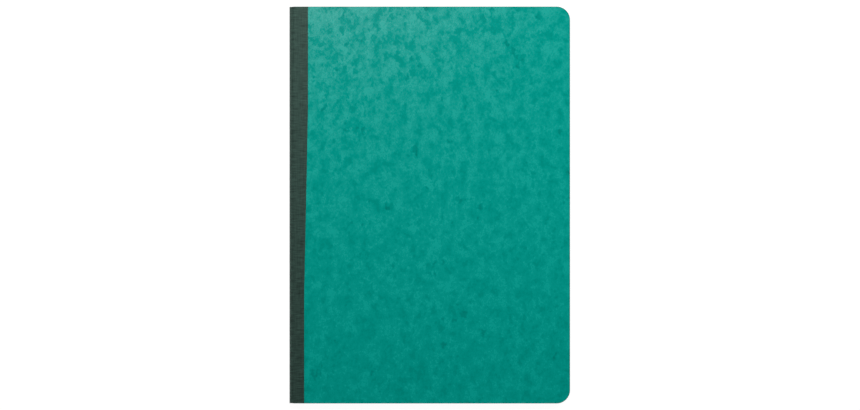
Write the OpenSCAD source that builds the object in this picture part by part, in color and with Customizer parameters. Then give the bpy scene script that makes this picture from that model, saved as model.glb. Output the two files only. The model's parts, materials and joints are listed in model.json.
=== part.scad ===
// Stapled account book, lying closed with its front cover up.
// X runs from the spine to the fore-edge, Y from the foot to the head, Z is up.
// The origin is under the middle of the closed book, on the surface it lies on.
// All folds are concentric with one hinge line, so the book can open flat at its centre.

/* [Book] */
// Width of the closed book, from the spine to the fore-edge
book_w = 210; // [120:1:300]
// Height of the book along the spine
book_h = 297; // [230:1:420]
// Radius of the two corners at the fore-edge
corner_r = 10; // [2:0.5:30]

/* [Sheets] */
// Number of folded sheets nested in one another
sheet_count = 24; // [4:1:26]
// Thickness of the paper
paper_t = 0.11; // [0.07:0.01:0.2]
// Air between two neighbouring leaves
leaf_gap = 0.015; // [0.01:0.005:0.05]
// Clear space round the clinched wire inside the innermost fold
fold_clear = 0.1; // [0.08:0.01:0.3]
// Length of the flat flank of each fold, from the hinge line to the leaf
fold_flank = 0.8; // [0.6:0.05:1]

/* [Cover] */
// Thickness of the card
card_t = 0.45; // [0.4:0.05:0.9]

/* [Cloth tape] */
// Thickness of the cloth tape
tape_t = 0.22; // [0.15:0.01:0.4]
// Depth that the tape is pressed into the card
tape_seat = 0.05; // [0.03:0.01:0.1]
// Full width of the tape, laid flat
tape_w = 30; // [26:0.5:60]
// Width of the tape on the front cover at the head
tape_front_head = 13.6; // [7:0.1:18]
// Width of the tape on the front cover at the foot
tape_front_foot = 10.7; // [7:0.1:18]
// Length from the head over which the tape edge runs straight
tape_head_run = 76; // [10:1:100]
// Length from the foot over which the tape edge runs straight
tape_foot_run = 81; // [10:1:100]

/* [Staples] */
// Diameter of the staple wire
wire_d = 0.5; // [0.4:0.05:0.7]
// Length of the crown, between the middles of the legs
crown_w = 13; // [12:0.5:20]
// Length of each clinched end, from the middle of its leg
clinch_len = 5.2; // [2:0.1:6]
// Distance of each staple's middle from the head or foot
staple_inset = 75; // [20:1:110]
// Depth that the crown is pressed into the card
crown_seat = 0.3; // [0.1:0.05:0.35]
// Clear space round the wire in the holes that it makes
hole_clear = 0.04; // [0.03:0.01:0.07]

/* [Hidden] */
$fn = 96;

leaf_count = 2 * sheet_count;
leaf_pitch = paper_t + leaf_gap;
wire_r = wire_d / 2;
hole_r = wire_r + hole_clear;

// Radii of the layers round the hinge line, from the inside out
core_r = wire_r + fold_clear;
card_in_r = core_r + sheet_count * leaf_pitch;
card_out_r = card_in_r + card_t;
tape_in_r = card_out_r - tape_seat;
tape_out_r = tape_in_r + tape_t;
crown_r = card_out_r - crown_seat + wire_r;
bump_r = hole_r + tape_t;
spine_r = max(tape_out_r, crown_r + bump_r);

// Place of the hinge line, and of the edges of the flat leaves
axis_x = spine_r - book_w / 2;
axis_z = tape_out_r;
spine_x = axis_x - tape_out_r;
leaf_x = axis_x + fold_flank;
fore_x = book_w / 2;

// Heights where the tape edge changes direction
half_h = book_h / 2;
slant_top = half_h - tape_head_run;
slant_foot = tape_foot_run - half_h;

// The tape keeps its width, so what the front gains the back loses
tape_wrap = PI * (tape_in_r + tape_t / 2);
tape_both = tape_w - tape_wrap + 2 * tape_out_r;

paper_colour = [0.94, 0.93, 0.88];
card_colour = [0.04, 0.57, 0.52];
tape_colour = [0.20, 0.28, 0.25];
wire_colour = [0.75, 0.76, 0.78];

function leaf_name(n) = str("leaf_", n < 10 ? "0" : "", n);

// Inside radius of a sheet's fold, where sheet 1 is the outermost
function fold_r(sheet) = core_r + (sheet_count - sheet) * leaf_pitch;

// Outline of a board or leaf: square at the spine, round at the fore-edge corners
module leaf_outline() {
    difference() {
        translate([leaf_x, -half_h]) square([fore_x - leaf_x, book_h]);
        for (side = [-1, 1]) corner_waste(side);
    }
}

// What is trimmed off one corner at the fore-edge
module corner_waste(side) {
    centre = [fore_x - corner_r, side * (half_h - corner_r)];
    difference() {
        translate(centre + [0, side > 0 ? 0 : -corner_r]) square(corner_r);
        translate(centre) circle(corner_r);
    }
}

// Outline of the tape on one board, for its widths at the head and the foot
module tape_outline(head_w, foot_w) {
    polygon([
        [leaf_x, -half_h],
        [spine_x + foot_w, -half_h],
        [spine_x + foot_w, slant_foot],
        [spine_x + head_w, slant_top],
        [spine_x + head_w, half_h],
        [leaf_x, half_h]
    ]);
}

module tape_front_outline() tape_outline(tape_front_head, tape_front_foot);

module tape_back_outline() tape_outline(tape_both - tape_front_head, tape_both - tape_front_foot);

// A layer bent round the hinge line, with a flat flank to each side
module fold_layer(inner_r, thickness) {
    outer_r = inner_r + thickness;
    translate([axis_x, 0, axis_z]) rotate([90, 0, 0]) linear_extrude(book_h, center = true) {
        difference() {
            circle(outer_r);
            circle(inner_r);
            translate([0, -2 * outer_r]) square(4 * outer_r);
        }
        for (low = [inner_r, -outer_r]) translate([0, low]) square([fold_flank, thickness]);
    }
}

// Puts its child at the middle of each staple, on the hinge line
module at_staples() {
    for (side = [-1, 1]) translate([axis_x, side * (half_h - staple_inset), axis_z]) children();
}

// A straight rod with round ends along Y
module rod_y(length, radius) {
    rotate([90, 0, 0]) cylinder(length, r = radius, center = true);
    for (side = [-1, 1]) translate([0, side * length / 2, 0]) sphere(radius);
}

// The crown and legs of one staple, at the given wire radius
module crown_and_legs(radius) {
    translate([-crown_r, 0, 0]) rod_y(crown_w, radius);
    for (side = [-1, 1])
        translate([-crown_r, side * crown_w / 2, 0]) rotate([0, 90, 0]) cylinder(crown_r, r = radius);
}

// One clinched end, lying along the hinge line towards the middle of the staple
module clinched_end() {
    translate([0, crown_w / 2 - clinch_len / 2, 0]) rod_y(clinch_len, wire_r);
}

module front_cover() {
    color(card_colour) difference() {
        translate([0, 0, axis_z + card_in_r]) linear_extrude(card_t) leaf_outline();
        translate([0, 0, axis_z + tape_in_r]) linear_extrude(card_t) tape_front_outline();
    }
}

module back_cover() {
    color(card_colour) difference() {
        translate([0, 0, axis_z - card_out_r]) linear_extrude(card_t) leaf_outline();
        translate([0, 0, axis_z - tape_in_r - card_t]) linear_extrude(card_t) tape_back_outline();
    }
}

module cover_spine() {
    color(card_colour) difference() {
        fold_layer(card_in_r, card_t);
        fold_layer(tape_in_r, card_t);
        at_staples() crown_and_legs(hole_r);
    }
}

module tape_front() {
    color(tape_colour) translate([0, 0, axis_z + tape_in_r]) linear_extrude(tape_t) tape_front_outline();
}

module tape_back() {
    color(tape_colour) translate([0, 0, axis_z - tape_out_r]) linear_extrude(tape_t) tape_back_outline();
}

// The tape rises in a small bump over each crown
module tape_spine() {
    color(tape_colour) difference() {
        union() {
            fold_layer(tape_in_r, tape_t);
            at_staples() tape_bump();
        }
        at_staples() crown_and_legs(hole_r);
    }
}

module tape_bump() {
    difference() {
        translate([-crown_r, 0, 0]) rod_y(crown_w, bump_r);
        rotate([90, 0, 0]) cylinder(book_h, r = tape_in_r, center = true);
    }
}

// The creased middle of every sheet, pierced by the legs
module sheet_folds() {
    color(paper_colour) for (sheet = [1 : sheet_count]) difference() {
        fold_layer(fold_r(sheet), paper_t);
        at_staples() crown_and_legs(hole_r);
    }
}

module staples() {
    color(wire_colour) at_staples() {
        crown_and_legs(wire_r);
        for (side = [0, 1]) mirror([0, side, 0]) clinched_end();
    }
}

// Leaves are counted from the front cover; the two leaves of a sheet mirror each other
module leaf(n) {
    is_front = n <= sheet_count;
    sheet = is_front ? n : leaf_count + 1 - n;
    low = is_front ? fold_r(sheet) : -fold_r(sheet) - paper_t;
    color(paper_colour) translate([0, 0, axis_z + low]) linear_extrude(paper_t) leaf_outline();
}

front_cover();
back_cover();
cover_spine();
tape_front();
tape_back();
tape_spine();
sheet_folds();
staples();
for (n = [1 : leaf_count]) leaf(n);
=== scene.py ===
import json
import math
import random

import bmesh
import bpy
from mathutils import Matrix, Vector, noise


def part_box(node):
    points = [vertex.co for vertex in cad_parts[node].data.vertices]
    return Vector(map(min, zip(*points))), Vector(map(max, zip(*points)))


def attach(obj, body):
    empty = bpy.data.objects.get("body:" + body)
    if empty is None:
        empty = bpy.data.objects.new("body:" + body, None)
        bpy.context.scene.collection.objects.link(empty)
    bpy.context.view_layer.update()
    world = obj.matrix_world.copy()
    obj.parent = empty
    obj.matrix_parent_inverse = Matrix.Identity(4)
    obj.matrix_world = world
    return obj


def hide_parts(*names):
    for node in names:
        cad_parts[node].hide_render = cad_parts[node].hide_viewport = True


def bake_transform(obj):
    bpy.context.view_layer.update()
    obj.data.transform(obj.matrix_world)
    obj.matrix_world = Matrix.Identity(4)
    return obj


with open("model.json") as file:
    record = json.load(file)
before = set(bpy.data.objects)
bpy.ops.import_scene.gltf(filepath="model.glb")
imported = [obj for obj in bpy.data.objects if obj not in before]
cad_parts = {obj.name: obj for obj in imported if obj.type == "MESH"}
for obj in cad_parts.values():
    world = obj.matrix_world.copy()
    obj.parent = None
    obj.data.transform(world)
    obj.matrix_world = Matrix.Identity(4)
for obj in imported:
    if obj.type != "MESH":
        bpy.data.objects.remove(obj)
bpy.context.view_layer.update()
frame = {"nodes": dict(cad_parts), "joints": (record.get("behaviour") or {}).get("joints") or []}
scene = bpy.context.scene

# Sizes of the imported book, in metres. The hinge line runs along Y inside the spine.
hingeX, _, hingeZ = next(j["pos_m"] for j in frame["joints"] if j["name"] == "cover_opening")
frontLow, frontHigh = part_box("front_cover")
boardX, foreX, halfH = frontLow.x, frontHigh.x, frontHigh.y
cardInnerR = frontLow.z - hingeZ
cardOuterR = frontHigh.z - hingeZ
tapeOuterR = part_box("tape_front")[1].z - hingeZ
leafNames = sorted(name for name in frame["nodes"] if name.startswith("leaf_"))
sheetCount = len(leafNames) // 2
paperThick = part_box(leafNames[0])[1].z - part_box(leafNames[0])[0].z
closeBy = 1e-6  # places nearer than this count as one
boardPoints = frame["nodes"]["front_cover"].data.vertices
cornerRadius = foreX - max(v.co.x for v in boardPoints if v.co.y > halfH - closeBy)


# Camera straight above the front cover, as in the photograph
cameraSetup = {
    "distance": 6.0,  # from the front cover, metres
    "sensor": 36.0,  # millimetres
    "imageWidth": 860,  # pixels
    "bookHeight": 396.85,  # pixels that the book covers from head to foot
    "aside": 0.00008,  # from the middle of the book towards the fore-edge
}


def makeCamera(setup):
    data = bpy.data.cameras.new("camera")
    data.sensor_width = setup["sensor"]
    metresPerPixel = 2 * halfH / setup["bookHeight"]
    data.lens = setup["sensor"] * setup["distance"] / (setup["imageWidth"] * metresPerPixel)
    camera = bpy.data.objects.new("camera", data)
    middleX = (foreX + hingeX - tapeOuterR) / 2
    camera.location = (middleX + setup["aside"], 0, frontHigh.z + setup["distance"])
    scene.collection.objects.link(camera)
    scene.camera = camera


makeCamera(cameraSetup)
print("camera above the front cover")


# Helpers for node materials
noiseMiddle = (0.3, 0.7)  # most of a noise lies between these


def addNode(tree, kind, values=None, **options):
    made = tree.nodes.new("ShaderNode" + kind)
    for name, value in options.items():
        setattr(made, name, value)
    for socket, value in (values or {}).items():
        if isinstance(value, bpy.types.NodeSocket):
            tree.links.new(value, made.inputs[socket])
        else:
            made.inputs[socket].default_value = value
    return made


def newMaterial(name):
    material = bpy.data.materials.new(name)
    material.use_nodes = True
    return material, material.node_tree, material.node_tree.nodes["Principled BSDF"]


def objectSpot(tree):
    return addNode(tree, "TexCoord").outputs["Object"]


def stretchedSpot(tree, scale, shift=(0, 0, 0)):
    values = {"Vector": objectSpot(tree), "Location": shift, "Scale": scale}
    return addNode(tree, "Mapping", values).outputs[0]


def noiseAt(tree, place, size, detail, roughness):
    values = {"Vector": place, "Scale": 1 / size, "Detail": detail, "Roughness": roughness}
    return addNode(tree, "TexNoise", values).outputs["Fac"]


def remap(tree, value, low, high, toLow, toHigh, kind="SMOOTHSTEP"):
    values = {0: value, 1: low, 2: high, 3: toLow, 4: toHigh}
    return addNode(tree, "MapRange", values, interpolation_type=kind).outputs[0]


def maths(tree, operation, a, b=0.0, c=0.0):
    return addNode(tree, "Math", {0: a, 1: b, 2: c}, operation=operation).outputs[0]


def mixColour(tree, factor, a, b):
    return addNode(tree, "Mix", {0: factor, 6: a, 7: b}, data_type="RGBA").outputs[2]


def scaleColour(tree, colour, level):
    return addNode(tree, "VectorMath", {0: colour, "Scale": level}, operation="SCALE").outputs[0]


def rgba(colour, level=1.0):
    return (*[c * level for c in colour], 1.0)


def bumpTo(tree, shader, height, distance):
    made = addNode(tree, "Bump", {"Height": height, "Distance": distance, "Strength": 1.0})
    tree.links.new(made.outputs["Normal"], shader.inputs["Normal"])


# Helpers for meshes
def addPiece(name, points, faces, materials, faceSlots=None, smoothAngle=None):
    mesh = bpy.data.meshes.new(name)
    mesh.from_pydata(points, [], faces)
    for material in materials:
        mesh.materials.append(material)
    if faceSlots:
        mesh.polygons.foreach_set("material_index", faceSlots)
    piece = bpy.data.objects.new(name, mesh)
    scene.collection.objects.link(piece)
    shaped = bmesh.new()
    shaped.from_mesh(mesh)
    bmesh.ops.recalc_face_normals(shaped, faces=shaped.faces)
    shaped.to_mesh(mesh)
    shaped.free()
    if smoothAngle:
        mesh.polygons.foreach_set("use_smooth", [True] * len(mesh.polygons))
        mesh.set_sharp_from_angle(angle=math.radians(smoothAngle))
    return piece


def setValues(piece, name, values):
    # One value for each point, which a material reads by its name
    piece.data.attributes.new(name, "FLOAT", "POINT").data.foreach_set("value", values)


def smoothStep(t):
    t = min(1.0, max(0.0, t))
    return t * t * (3 - 2 * t)


def quarterTurns(steps):
    return [math.radians(90 * k / steps) for k in range(steps + 1)]


def trimmedOutline(inset, fromX, cornerSteps):
    # From the foot of the inner edge, round both corners of the fore-edge, to its head
    points = [(fromX, inset - halfH)]
    turns = quarterTurns(cornerSteps)
    for side, angles in ((-1, turns), (1, turns[::-1])):
        x, y, r = foreX - cornerRadius, side * (halfH - cornerRadius), cornerRadius - inset
        points += [(x + r * math.sin(a), y + side * r * math.cos(a)) for a in angles]
    return points + [(fromX, halfH - inset)]


# Pressed card of the cover: mottled, calendered and glossy outside, duller inside.
# A noise is given by its size in metres, its detail and its roughness.
cardLook = {
    "light": (0.0004, 0.325, 0.269),
    "dark": (0.0001, 0.243, 0.197),
    "along": (1.17, 0.92, 1.0),  # the fibres run along the spine, so the mottles are longer that way
    "shiftBack": (0.4, 0.7, 0.2),  # other parts of the noise for the back and the inside
    "shiftInside": (0.9, 0.2, 0.5),
    "cloud": (0.010, 4.0, 0.85),  # mottles
    "spread": (0.325, 0.635),  # part of the noise that runs from dark to light
    "flake": (0.0062, 2.0, 0.6),  # darker flakes
    "flakeFrom": (0.54, 0.68),  # part of the noise that makes flakes
    "flakeDepth": 0.42,
    "blotch": (0.014, 3.0, 0.65),  # sparse dark blotches
    "blotchFrom": (0.635, 0.72),
    "blotchDepth": 0.24,
    "rimDepth": 0.45,  # painted shade: darkening along the rounded trimmed edge
    "gloss": 0.288,  # roughness of the palest mottles; the dark ones are smoother
    "hazeFrom": (0.355, 1.0),  # part of the tone that turns from clear to hazy
    "haze": (0.04, 1.26),
    "hazePower": 0.25,  # the haze grows with the fourth power of the roughness
    "dullInside": 0.2,  # added to the roughness
    "specular": 0.158,
    "relief": 0.00003,
}


def cardMaterial(name, look, shift=(0, 0, 0), dull=0.0):
    material, tree, shader = newMaterial(name)
    place = stretchedSpot(tree, look["along"], shift)
    mottle = noiseAt(tree, place, *look["cloud"])
    flakes = noiseAt(tree, place, *look["flake"])
    flake = remap(tree, flakes, *look["flakeFrom"], 0.0, look["flakeDepth"])
    tone = maths(tree, "SUBTRACT", remap(tree, mottle, *look["spread"], 0.0, 1.0, "LINEAR"), flake)
    colour = mixColour(tree, tone, rgba(look["dark"]), rgba(look["light"]))
    patches = noiseAt(tree, place, *look["blotch"])
    blotch = remap(tree, patches, *look["blotchFrom"], 0.0, 1.0)
    stained = maths(tree, "MULTIPLY", blotch, look["blotchDepth"])
    # Painted shade: the rim attribute darkens the colour towards the rounded trimmed edge; the blotches
    # added to it are stains
    rim = addNode(tree, "Attribute", attribute_name="rim").outputs["Fac"]
    stainsAndRimShade = maths(tree, "MULTIPLY_ADD", rim, look["rimDepth"], stained)
    shaded = scaleColour(tree, colour, maths(tree, "SUBTRACT", 1.0, stainsAndRimShade))
    tree.links.new(shaded, shader.inputs["Base Color"])
    clear = maths(tree, "SUBTRACT", tone, blotch)  # no haze on the blotches
    haze = remap(tree, clear, *look["hazeFrom"], *look["haze"], "LINEAR")
    rough = maths(tree, "POWER", haze, look["hazePower"])
    rough = maths(tree, "MULTIPLY_ADD", rough, look["gloss"], dull)
    tree.links.new(rough, shader.inputs["Roughness"])
    shader.inputs["Specular IOR Level"].default_value = look["specular"]
    bumpTo(tree, shader, mottle, look["relief"])
    return material


# The cut through the card shows its fibres
cutLook = {
    "dark": 0.7,  # shares of the card's own dark and light
    "light": 0.95,
    "fibre": (0.0012, 3.0, 0.6),
    "flatten": (1, 1, 12),  # the fibres lie flat in the card
    "roughness": (0.75, 0.95),
    "specular": 0.05,
    "relief": 0.00003,
}


def cutMaterial(name, look, card):
    material, tree, shader = newMaterial(name)
    fibre = noiseAt(tree, stretchedSpot(tree, look["flatten"]), *look["fibre"])
    colour = mixColour(tree, fibre, rgba(card["dark"], look["dark"]), rgba(card["light"], look["light"]))
    tree.links.new(colour, shader.inputs["Base Color"])
    rough = remap(tree, fibre, *noiseMiddle, *look["roughness"])
    tree.links.new(rough, shader.inputs["Roughness"])
    shader.inputs["Specular IOR Level"].default_value = look["specular"]
    bumpTo(tree, shader, fibre, look["relief"])
    return material


boardShape = {
    "edgeRound": 0.00008,
    "flatUpTo": 1.25,  # in roundings from the edge; keeps the faces flat up to the rounding
    "rimBand": 0.0007,  # width of the rim darkened by painted shade
    "roundSteps": 3,
    "cornerSteps": 16,
    "smoothAngle": 40,
}


def makeBoard(name, node, zOuter, zInner, materials):
    # The slots of the materials are outside, inside and cut
    shape = boardShape
    inward = 1 if zInner > zOuter else -1
    edge, band = shape["edgeRound"], shape["rimBand"]
    turns = quarterTurns(shape["roundSteps"])
    halfRound = [(edge * (1 - math.sin(a)), edge * (1 - math.cos(a))) for a in turns]
    flat = shape["flatUpTo"] * edge
    # The third value of each ring is how much painted shade darkens the colour there, rising towards the
    # edge
    rings = [(band, zOuter, 0.0), (flat, zOuter, 1.0)]
    rings += [(inset, zOuter + inward * drop, 1.0) for inset, drop in halfRound]
    rings += [(inset, zInner - inward * drop, 1.0) for inset, drop in halfRound[::-1]]
    rings += [(flat, zInner, 1.0), (band, zInner, 0.0)]
    points, rim = [], []
    for inset, z, paintedEdgeShade in rings:
        outline = trimmedOutline(inset, boardX, shape["cornerSteps"])
        points += [(x, y, z) for x, y in outline]
        rim += [paintedEdgeShade] * len(outline)
    count, last = len(points) // len(rings), len(rings) - 1
    faces = [list(range(count)), list(range(last * count, last * count + count))]
    slots = [0, 1]
    for j in range(last):
        slot = 0 if j < 2 else 1 if j > last - 3 else 2
        for i in range(count - 1):
            a = j * count + i
            faces.append([a, a + 1, a + count + 1, a + count])
            slots.append(slot)
    first = [j * count for j in range(last + 1)]
    faces.append(first + [a + count - 1 for a in first[::-1]])
    slots.append(2)
    piece = addPiece(name, points, faces, materials, slots, shape["smoothAngle"])
    setValues(piece, "rim", rim)
    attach(piece, node)
    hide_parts(node)
    return piece


cardOutside = cardMaterial("pressed card, front", cardLook)
cardBack = cardMaterial("pressed card, back", cardLook, cardLook["shiftBack"])
cardInside = cardMaterial("pressed card, inside", cardLook, cardLook["shiftInside"], cardLook["dullInside"])
cardEdge = cutMaterial("pressed card, cut edge", cutLook, cardLook)
frontBoard = makeBoard("front_board", "front_cover", hingeZ + cardOuterR, hingeZ + cardInnerR,
                       [cardOutside, cardInside, cardEdge])
backBoard = makeBoard("back_board", "back_cover", hingeZ - cardOuterR, hingeZ - cardInnerR,
                      [cardBack, cardInside, cardEdge])
print("boards made, corner radius", round(cornerRadius * 1000, 2), "mm")


# Layers bent round the hinge line: the fold of the card and of every sheet
foldShape = {
    "steps": 32,
    "squareness": 0.88,  # of the card and cloth round the spine; 1 is round
    "endSlant": 0.00012,  # the cut ends slant, so that layers pressed together when open do not coincide
    "endTuck": 0.00022,  # the ends of the card and cloth draw in at both shoulders of the spine
    "smoothAngle": 40,
}
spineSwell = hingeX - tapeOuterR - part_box("tape_spine")[0].x  # room for the staples' crowns


def endCut(share, angle, tuck):
    # How far the end stops short, at a share of the width and an angle round the hinge line
    return foldShape["endSlant"] * share + tuck * math.sin(2 * angle) ** 2


def roundSpine(r, angle, swell, power):
    # A point of a layer at an angle from straight below the hinge line.
    # The swell makes the back of the spine fuller.
    x = (r + swell) * max(0.0, math.sin(angle)) ** power
    z = math.copysign(abs(math.cos(angle)) ** power, math.cos(angle))
    return hingeX - x, hingeZ - r * z


def makeFold(name, innerR, thick, halfLength, materials, tuck=0.0, swell=0.0, power=1.0):
    # The slots of the materials are outside, inside and cut
    turns = [math.pi * k / foldShape["steps"] for k in range(foldShape["steps"] + 1)]
    profile = []
    for r in (innerR, innerR + thick):
        arc = [roundSpine(r, a, swell, power) for a in turns]
        profile.append([(boardX, hingeZ - r)] + arc + [(boardX, hingeZ + r)])
    count = len(profile[0])
    lengths = [halfLength - endCut(i / count, a, tuck) for i, a in enumerate([0, *turns, math.pi])]
    points, faces, slots = [], [], []
    for end in (-1, 1):
        for side in profile:
            points += [(x, end * length, z) for (x, z), length in zip(side, lengths)]
    for i in range(count - 1):
        for a, b, slot in ((0, 2, 1), (1, 3, 0), (0, 1, 2), (2, 3, 2)):
            faces.append([a * count + i, a * count + i + 1, b * count + i + 1, b * count + i])
            slots.append(slot)
    for i in (0, count - 1):
        faces.append([i, count + i, 3 * count + i, 2 * count + i])
        slots.append(2)
    return addPiece(name, points, faces, materials, slots, foldShape["smoothAngle"])


cardFold = makeFold("card_fold", cardInnerR, cardOuterR - cardInnerR, halfH,
                    [cardOutside, cardInside, cardEdge],
                    foldShape["endTuck"], spineSwell, foldShape["squareness"])
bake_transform(cardFold)
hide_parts("cover_spine")
print("card fold made")


# Woven cloth tape glued over the spine and onto both boards
tapeShape = {
    "flatWidth": 0.030,
    "lift": 0.000002,  # over the card that it is glued to
    "pastBoard": 0.0001,  # corners of the outer edge lie farther than this over the boards
    "rowStep": 0.0015,
    "flatSteps": 6,
    "arcSteps": 48,
    "edgeSoft": 0.00014,  # width of the rounded cut edge
    "edgeRise": ((0.0, 0.45), (0.3, 0.82), (1.0, 1.0), (3.0, 1.0)),  # shares of that width, of the thickness
    "slantEase": 0.010,  # length over which the edge changes direction
    "easeSteps": 4,
    "waver": 0.00006,  # unevenness of the cut edge
    "waverPitch": 90,  # in a metre
    "waverSeeds": (1.3, 7.7),  # front and back
    "unevenness": 0.000012,
    "unevenPitch": 300,
    "unevenSeed": 0.5,
    "smoothAngle": 50,
}


def tapeEdge(node):
    # Corners of the tape's outer edge on one board, as (y, x) from the foot to the head
    corners = {(round(v.co.y, 6), round(v.co.x, 6)) for v in frame["nodes"][node].data.vertices}
    return sorted(c for c in corners if c[1] > boardX + tapeShape["pastBoard"])


def edgeAt(corners, y):
    # Where the edge is at y, as a mean over a short length
    def straight(at):
        at = min(max(at, corners[0][0]), corners[-1][0])
        for (y0, x0), (y1, x1) in zip(corners, corners[1:]):
            if at <= y1:
                return x0 + (x1 - x0) * (at - y0) / (y1 - y0)
        return corners[-1][1]

    ease, steps = tapeShape["slantEase"], tapeShape["easeSteps"]
    return sum(straight(y + ease * (k / steps - 0.5)) for k in range(steps + 1)) / (steps + 1)


def acrossTape(frontX, backX):
    # Both faces of the cloth, from the front edge to the back one, as outer x and z, inner x and z,
    # and the angle from straight below the hinge line
    shape = tapeShape
    innerR = cardOuterR + shape["lift"]
    thick = tapeOuterR - innerR
    fromEdge = [(share * shape["edgeSoft"], height) for share, height in shape["edgeRise"]]
    flatFrom, steps = fromEdge[-1][0], shape["flatSteps"]

    def onBoard(edgeX, up):
        length = edgeX - hingeX - flatFrom
        flats = fromEdge + [(flatFrom + length * k / steps, 1.0) for k in range(1, steps)]
        angle = math.pi if up > 0 else 0.0
        innerZ = hingeZ + up * innerR
        return [(edgeX - d, hingeZ + up * (innerR + thick * height), edgeX - d, innerZ, angle)
                for d, height in flats]

    turns = [math.pi * (1 - k / shape["arcSteps"]) for k in range(shape["arcSteps"] + 1)]
    arc = [(*roundSpine(tapeOuterR, a, spineSwell, foldShape["squareness"]),
            *roundSpine(innerR, a, spineSwell, foldShape["squareness"]), a) for a in turns]
    return onBoard(frontX, 1) + arc + onBoard(backX, -1)[::-1]


def makeTape(material):
    shape = tapeShape
    pitch = shape["unevenPitch"]
    front, back = tapeEdge("tape_front"), tapeEdge("tape_back")
    rows = round(2 * halfH / shape["rowStep"])
    points, places, faces = [], [], []
    for r in range(rows + 1):
        y = -halfH + 2 * halfH * r / rows
        sway = [shape["waver"] * noise.noise((0.0, shape["waverPitch"] * y, k)) for k in shape["waverSeeds"]]
        section = acrossTape(edgeAt(front, y) + sway[0], edgeAt(back, y) + sway[1])
        end = (r == rows) - (r == 0)
        run, before = 0.0, section[0]
        for i, (ox, oz, ix, iz, angle) in enumerate(section):
            run += math.hypot(ox - before[0], oz - before[1])
            before = (ox, oz)
            cutY = y - end * endCut(i / len(section), angle, foldShape["endTuck"])
            uneven = 1 + noise.noise((pitch * run, pitch * y, shape["unevenSeed"]))
            rough = 1 - shape["unevenness"] * uneven / tapeOuterR
            outX = hingeX + (ox - hingeX) * rough if ox < hingeX else ox
            points += [(outX, cutY, hingeZ + (oz - hingeZ) * rough), (ix, cutY, iz)]
            places += [(run, cutY), (run, cutY)]
    count = len(section)
    for r in range(rows):
        for i in range(count - 1):
            for face in (0, 1):
                a = 2 * (r * count + i) + face
                faces.append([a, a + 2, a + 2 * count + 2, a + 2 * count])
        for i in (0, count - 1):
            a = 2 * (r * count + i)
            faces.append([a, a + 1, a + 2 * count + 1, a + 2 * count])
    for r in (0, rows):
        for i in range(count - 1):
            a = 2 * (r * count + i)
            faces.append([a, a + 1, a + 3, a + 2])
    piece = addPiece("cloth_tape", points, faces, [material], None, shape["smoothAngle"])
    mapCloth(piece, places)
    return piece


# The map for baking: the outside in bands side by side, the glued side narrow beside them
bakeLayout = {
    "bands": 3,
    "sideMargin": 0.016,  # shares of a band
    "endMargin": 0.004,
    "edgeLean": 0.01,  # gives the cut edges some width
    "outside": 0.95,  # share of the map
    "gluedFrom": (0.955, 0.01),
    "gluedSize": (0.04, 0.98),
}


def mapCloth(piece, places):
    # One map lays the weave in metres, the other is for baking
    layout, mesh = bakeLayout, piece.data
    weave, bake = mesh.uv_layers.new(name="clothPlace"), mesh.uv_layers.new(name="OFBake")
    width = max(s for s, y in places)
    bands, beside, atEnd = layout["bands"], layout["sideMargin"], layout["endMargin"]
    for face in mesh.polygons:
        glued = all(v % 2 for v in face.vertices)
        middle = sum(places[v][1] for v in face.vertices) / len(face.vertices)
        band = min(bands - 1, int((middle + halfH) / (2 * halfH) * bands))
        for loop in face.loop_indices:
            v = mesh.loops[loop].vertex_index
            s, y = places[v]
            weave.data[loop].uv = (s, y)
            across, along = s / width, (y + halfH) / (2 * halfH)
            if glued:
                corner, size = layout["gluedFrom"], layout["gluedSize"]
                bake.data[loop].uv = (corner[0] + size[0] * across, corner[1] + size[1] * along)
            else:
                lean = layout["edgeLean"] if v % 2 else 0.0
                inBand = beside + (1 - 2 * beside) * across + lean
                upBand = atEnd + (1 - 2 * atEnd) * (along * bands - band)
                bake.data[loop].uv = (layout["outside"] * (band + inBand) / bands, upBand)


clothLook = {
    "base": (0.0252, 0.0491, 0.0401),
    "thread": 0.00046,  # distance between two threads
    "threadStep": 0.73,  # from thread to thread in the noise that gives their tones
    "threadNoise": (1.0, 1.0, 0.5),
    "weftRun": 0.007,  # length over which a crosswise thread keeps its tone
    "warpRun": 0.012,
    "warpPart": 50.0,  # another part of the noise
    "weftTone": 1.75,  # how far the threads differ
    "warpTone": 0.85,
    "weaveDepth": 0.22,
    "weftRelief": 0.5,
    "relief": 0.00001,
    "roughness": (0.43, 0.47),
    "specular": 0.15,
    "tint": (0.64, 1.0, 0.86),
}


def threadTone(tree, look, count, distance, run, part):
    # Every thread has its own tone, which drifts along its length
    number = maths(tree, "MULTIPLY", maths(tree, "FLOOR", count), look["threadStep"])
    drift = maths(tree, "DIVIDE", distance, run)
    spot = addNode(tree, "CombineXYZ", {0: number, 1: drift, 2: part}).outputs[0]
    return noiseAt(tree, spot, *look["threadNoise"])


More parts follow.
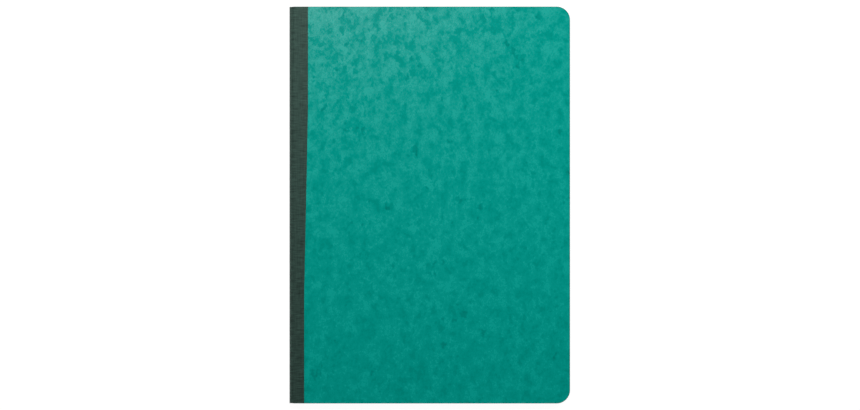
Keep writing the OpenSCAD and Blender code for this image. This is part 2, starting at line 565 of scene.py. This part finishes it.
def clothMaterial(name, look):
    material, tree, shader = newMaterial(name)
    place = addNode(tree, "UVMap", uv_map="clothPlace").outputs[0]
    split = addNode(tree, "SeparateXYZ", {0: place})
    across, along = split.outputs[0], split.outputs[1]
    counts = [maths(tree, "DIVIDE", distance, look["thread"]) for distance in (across, along)]
    waves = [maths(tree, "SINE", maths(tree, "MULTIPLY", count, math.pi)) for count in counts]
    weave = maths(tree, "MULTIPLY", *waves)
    weft = threadTone(tree, look, counts[1], across, look["weftRun"], 0.0)
    warp = threadTone(tree, look, counts[0], along, look["warpRun"], look["warpPart"])
    plain = 1 - look["weftTone"] / 2 - look["warpTone"] / 2  # the noises are a half on average
    level = maths(tree, "MULTIPLY_ADD", weft, look["weftTone"], plain)
    level = maths(tree, "MULTIPLY_ADD", warp, look["warpTone"], level)
    level = maths(tree, "MULTIPLY_ADD", weave, look["weaveDepth"], level)
    tree.links.new(scaleColour(tree, look["base"], level), shader.inputs["Base Color"])
    rough = remap(tree, weft, *noiseMiddle, *look["roughness"])
    tree.links.new(rough, shader.inputs["Roughness"])
    shader.inputs["Specular IOR Level"].default_value = look["specular"]
    shader.inputs["Specular Tint"].default_value = rgba(look["tint"])
    height = maths(tree, "MULTIPLY_ADD", weft, look["weftRelief"], weave)
    bumpTo(tree, shader, height, look["relief"])
    return material


clothTape = makeTape(clothMaterial("coated bookbinding cloth", clothLook))
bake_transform(clothTape)
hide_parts("tape_front", "tape_spine", "tape_back")
print("cloth tape made,", len(clothTape.data.polygons), "faces")


# Ruled ledger paper
ledgerPaper = {
    "tint": (0.745, 0.72, 0.64),
    "toneRange": 0.035,  # how far the leaves differ
    "level": 0.955,  # without the fibres and clouds
    "fibre": (0.0016, 4.0, 0.7),
    "fibreTone": 0.05,
    "cloud": (0.03, 2.0, 0.5),
    "cloudTone": 0.04,
    "ruleBlue": (0.36, 0.50, 0.66),
    "blueInk": 0.75,  # how far the ink covers the paper
    "ruleRed": (0.66, 0.25, 0.24),
    "redInk": 0.7,
    "lineStep": 0.008,
    "lineWidth": 0.00028,
    "headRule": 0.110,  # height of the double line over the columns
    "headGap": 0.0016,  # between its two lines
    "footRule": -0.138,
    "columns": (0.014, 0.036, 0.118, 0.144, 0.150, 0.172, 0.178),  # from the left of the page
    "roughness": (0.72, 0.86),
    "specular": 0.3,
    "relief": 0.000012,
}


def paperMaterial(name, look, page=None):
    material, tree, shader = newMaterial(name)
    spot = objectSpot(tree)
    fibre = noiseAt(tree, spot, *look["fibre"])
    cloudy = noiseAt(tree, spot, *look["cloud"])
    tone = addNode(tree, "Attribute", attribute_name="leafTone").outputs["Fac"]
    level = maths(tree, "MULTIPLY_ADD", cloudy, look["cloudTone"], look["level"])
    level = maths(tree, "MULTIPLY_ADD", fibre, look["fibreTone"], level)
    paper = scaleColour(tree, look["tint"], maths(tree, "ADD", level, tone))
    if page:
        paper = rulePage(tree, spot, paper, look, page)
    tree.links.new(paper, shader.inputs["Base Color"])
    rough = remap(tree, fibre, *noiseMiddle, *look["roughness"])
    tree.links.new(rough, shader.inputs["Roughness"])
    shader.inputs["Specular IOR Level"].default_value = look["specular"]
    bumpTo(tree, shader, fibre, look["relief"])
    return material


def rulePage(tree, spot, paper, look, page):
    # page is +1 where the spine is at the left of the page, -1 where it is at the right
    split = addNode(tree, "SeparateXYZ", {0: spot})
    x, y = split.outputs[0], split.outputs[1]
    fromLeft = maths(tree, "SUBTRACT", x, boardX) if page > 0 else maths(tree, "SUBTRACT", foreX, x)
    width = look["lineWidth"]
    below = maths(tree, "LESS_THAN", y, look["headRule"] + width)
    above = maths(tree, "GREATER_THAN", y, look["footRule"] - width)
    inside = maths(tree, "MULTIPLY", below, above)
    gap = maths(tree, "PINGPONG", maths(tree, "SUBTRACT", look["headRule"], y), look["lineStep"] / 2)
    lines = maths(tree, "MULTIPLY", maths(tree, "LESS_THAN", gap, width / 2), inside)
    paper = mixColour(tree, maths(tree, "MULTIPLY", lines, look["blueInk"]), paper, rgba(look["ruleBlue"]))
    rules = maths(tree, "COMPARE", y, look["headRule"] + look["headGap"], width / 2)
    for column in look["columns"]:
        rules = maths(tree, "MAXIMUM", rules, maths(tree, "COMPARE", fromLeft, column, width / 2))
    rules = maths(tree, "MULTIPLY", rules, maths(tree, "GREATER_THAN", y, look["footRule"]))
    return mixColour(tree, maths(tree, "MULTIPLY", rules, look["redInk"]), paper, rgba(look["ruleRed"]))


leafShape = {
    "bendLength": 0.045,  # where the leaves close up beside the spine
    "bendSteps": 12,
    "cornerSteps": 8,
    "trim": (0.00002, 0.00009),  # how far leaves stop short of the boards
    "foldTrim": 0.00005,
    "smoothAngle": 30,
    "seed": 48,
}
leafDraw = random.Random(leafShape["seed"])
rightPage = paperMaterial("ledger paper, right page", ledgerPaper, 1)
leftPage = paperMaterial("ledger paper, left page", ledgerPaper, -1)
paperEdge = paperMaterial("ledger paper, cut edge", ledgerPaper)


def setTone(piece):
    tone = leafDraw.uniform(-ledgerPaper["toneRange"], ledgerPaper["toneRange"])
    setValues(piece, "leafTone", [tone] * len(piece.data.vertices))


def makeLeaf(name, order):
    # order counts the leaves from the back cover, starting at 0
    shape = leafShape
    low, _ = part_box(name)
    pitch = 2 * cardInnerR / len(leafNames)
    settled = hingeZ - cardInnerR + (order + 0.5) * pitch - paperThick / 2
    trim = leafDraw.uniform(*shape["trim"])
    points, faces, slots = [], [], []
    steps = shape["bendSteps"]
    for level in (0.0, paperThick):
        for k in range(steps):
            z = low.z + (settled - low.z) * smoothStep(k / steps) + level
            x = low.x + shape["bendLength"] * k / steps
            points += [(x, trim - halfH, z), (x, halfH - trim, z)]
        outline = trimmedOutline(trim, low.x + shape["bendLength"], shape["cornerSteps"])
        points += [(x, y, settled + level) for x, y in outline]
    count = len(points) // 2
    panel = list(range(2 * steps, count))
    footLine = list(range(0, 2 * steps, 2)) + [panel[0]]
    headLine = list(range(1, 2 * steps, 2)) + [panel[-1]]
    for side, slot in ((0, 1), (count, 0)):
        for k in range(steps):
            strip = (footLine[k], footLine[k + 1], headLine[k + 1], headLine[k])
            faces.append([side + v for v in strip])
        faces.append([side + v for v in panel])
        slots += [slot] * (steps + 1)
    rim = footLine[:-1] + panel + headLine[-2::-1]
    for a, b in zip(rim, rim[1:] + rim[:1]):
        faces.append([a, b, b + count, a + count])
        slots.append(2)
    piece = addPiece(name.replace("leaf", "paper_leaf"), points, faces,
                     [rightPage, leftPage, paperEdge], slots, shape["smoothAngle"])
    setTone(piece)
    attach(piece, name)
    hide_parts(name)


for index, leafName in enumerate(leafNames):
    makeLeaf(leafName, len(leafNames) - 1 - index)
for sheet in range(1, sheetCount + 1):
    outerLeaf, innerLeaf = leafNames[sheet - 1], leafNames[-sheet]
    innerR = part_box(outerLeaf)[0].z - hingeZ
    halfLength = halfH - leafShape["foldTrim"]
    fold = makeFold(f"paper_fold_{sheet:02d}", innerR, paperThick, halfLength, [paperEdge] * 3)
    setTone(fold)
    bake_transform(fold)
    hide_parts("sheet_folds")
print("paper made:", len(leafNames), "leaves on", sheetCount, "folds")


# Wire staples: crowns under the tape, ends clinched over the innermost fold
stapleShape = {
    "wire": 0.0005,
    "bend": 0.0005,  # radius of the bends, at the middle of the wire
    "legHalf": 0.0065,
    "crownHalf": 0.0066,  # from the middle of the staple to its end
    "tipGap": 0.0013,  # from the middle of the staple to each clinched tip
    "tipShare": 0.6,  # of the wire's width, left at the cut
    "tipBevel": 0.04,  # share of the last length
    "sides": 12,
    "bendSteps": 6,
    "smoothAngle": 50,
}
wireLook = {
    "base": (0.60, 0.60, 0.62),
    "dull": (0.36, 0.36, 0.38),
    "drawn": (0.00012, 3.0, 0.7),  # lines left by the drawing die
    "drawnAlong": (1, 0.08, 1),
    "blotch": (0.0015, 2.0, 0.5),
    "toneFrom": (0.12, 0.4),
    "roughness": (0.22, 0.42),
    "relief": 0.000008,
}


def wireMaterial(name, look):
    material, tree, shader = newMaterial(name)
    drawn = noiseAt(tree, stretchedSpot(tree, look["drawnAlong"]), *look["drawn"])
    blotch = noiseAt(tree, objectSpot(tree), *look["blotch"])
    tone = remap(tree, maths(tree, "MULTIPLY", drawn, blotch), *look["toneFrom"], 0.0, 1.0)
    colour = mixColour(tree, tone, rgba(look["dull"]), rgba(look["base"]))
    tree.links.new(colour, shader.inputs["Base Color"])
    shader.inputs["Metallic"].default_value = 1.0
    rough = remap(tree, drawn, *noiseMiddle, *look["roughness"])
    tree.links.new(rough, shader.inputs["Roughness"])
    bumpTo(tree, shader, drawn, look["relief"])
    return material


def roundedPath(corners, radius, steps):
    path = [corners[0]]
    for before, corner, after in zip(corners, corners[1:], corners[2:]):
        toBefore, toAfter = (before - corner).normalized(), (after - corner).normalized()
        centre = corner + radius * (toBefore + toAfter)
        for a in quarterTurns(steps):
            path.append(centre - radius * (toAfter * math.cos(a) + toBefore * math.sin(a)))
    return path + [corners[-1]]


def sweepWire(path, shape, flatAxis):
    # A round wire along a path that stays in one plane, with bevelled ends
    points, faces = [], []
    radius, sides, bevel = shape["wire"] / 2, shape["sides"], shape["tipBevel"]
    rings = [(path[0], shape["tipShare"]), (path[0].lerp(path[1], bevel), 1.0)]
    rings += [(p, 1.0) for p in path[1:-1]]
    rings += [(path[-1].lerp(path[-2], bevel), 1.0), (path[-1], shape["tipShare"])]
    for i, (centre, share) in enumerate(rings):
        ahead = rings[min(i + 1, len(rings) - 1)][0] - rings[max(i - 1, 0)][0]
        side = ahead.normalized().cross(flatAxis)
        for k in range(sides):
            a = 2 * math.pi * k / sides
            points.append(centre + radius * share * (side * math.cos(a) + flatAxis * math.sin(a)))
    for i in range(len(rings) - 1):
        for k in range(sides):
            a, b = i * sides + k, i * sides + (k + 1) % sides
            faces.append([a, b, b + sides, a + sides])
    faces += [list(range(sides)), list(range(len(points) - sides, len(points)))]
    return points, faces


def makeStaple(name, y, material):
    shape = stapleShape
    leg, tip = shape["legHalf"], shape["tipGap"]
    crownX = staplesLow.x + shape["wire"] / 2
    bends = ((hingeX, -tip), (hingeX, -leg), (crownX, -leg), (crownX, leg), (hingeX, leg), (hingeX, tip))
    corners = [Vector((x, y + along, hingeZ)) for x, along in bends]
    path = roundedPath(corners, shape["bend"], shape["bendSteps"])
    points, faces = sweepWire(path, shape, Vector((0, 0, 1)))
    piece = addPiece(name, points, faces, [material], None, shape["smoothAngle"])
    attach(piece, "spine")
    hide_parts("staples")


staplesLow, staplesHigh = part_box("staples")
staplePlaces = [side * (staplesHigh.y - stapleShape["crownHalf"]) for side in (-1, 1)]
stapleWire = wireMaterial("drawn staple wire", wireLook)
for stapleName, place in zip(("staple_foot", "staple_head"), staplePlaces):
    makeStaple(stapleName, place, stapleWire)
print("staples made at", [round(place * 1000, 1) for place in staplePlaces], "mm")


# Plain white floor and soft studio light
studio = {
    "floorSize": 40.0,
    "floorColour": (0.12, 0.12, 0.12),
    "floorRoughness": 0.9,
    "floorGlow": 0.95,  # a light table, so that it stays white
    "softboxes": {  # place, size in metres and power of each
        "key_softbox": ((-0.083, 0.294, 0.656), 0.175, 2.92),
        "fill_softbox": ((0.70, 0.35, 0.55), 0.5, 5.18),
        "spine_softbox": ((-0.70, 0.35, 0.28), 0.3, 2.35),
    },
    "wallLevel": 0.8,  # pale walls round the table, dark ceiling
    "wallTop": (0.10, 0.50),
}
white = rgba((1, 1, 1))


def makeFloor(look):
    half = look["floorSize"] / 2
    points = [(-half, -half, 0), (half, -half, 0), (half, half, 0), (-half, half, 0)]
    material, _, shader = newMaterial("white table")
    shader.inputs["Base Color"].default_value = rgba(look["floorColour"])
    shader.inputs["Roughness"].default_value = look["floorRoughness"]
    shader.inputs["Specular IOR Level"].default_value = 0.0
    shader.inputs["Emission Color"].default_value = white
    shader.inputs["Emission Strength"].default_value = look["floorGlow"]
    floor = addPiece("floor", points, [[0, 1, 2, 3]], [material])


def makeSoftbox(name, place, size, power):
    data = bpy.data.lights.new(name, "AREA")
    data.shape = "SQUARE"
    data.size = size
    data.energy = power
    light = bpy.data.objects.new(name, data)
    light.location = place
    light.rotation_euler = (-Vector(place)).to_track_quat("-Z", "Y").to_euler()
    scene.collection.objects.link(light)


def makeWalls(look):
    world = bpy.data.worlds.new("studio walls")
    world.use_nodes = True
    tree = world.node_tree
    way = addNode(tree, "TexCoord").outputs["Generated"]
    height = addNode(tree, "SeparateXYZ", {0: way}).outputs[2]
    level = remap(tree, height, *look["wallTop"], look["wallLevel"], 0.0)
    tree.links.new(level, tree.nodes["Background"].inputs["Strength"])
    tree.nodes["Background"].inputs["Color"].default_value = white
    scene.world = world


makeFloor(studio)
for softboxName, (place, size, power) in studio["softboxes"].items():
    makeSoftbox(softboxName, place, size, power)
makeWalls(studio)
scene.view_settings.view_transform = "Standard"
print("studio lit")
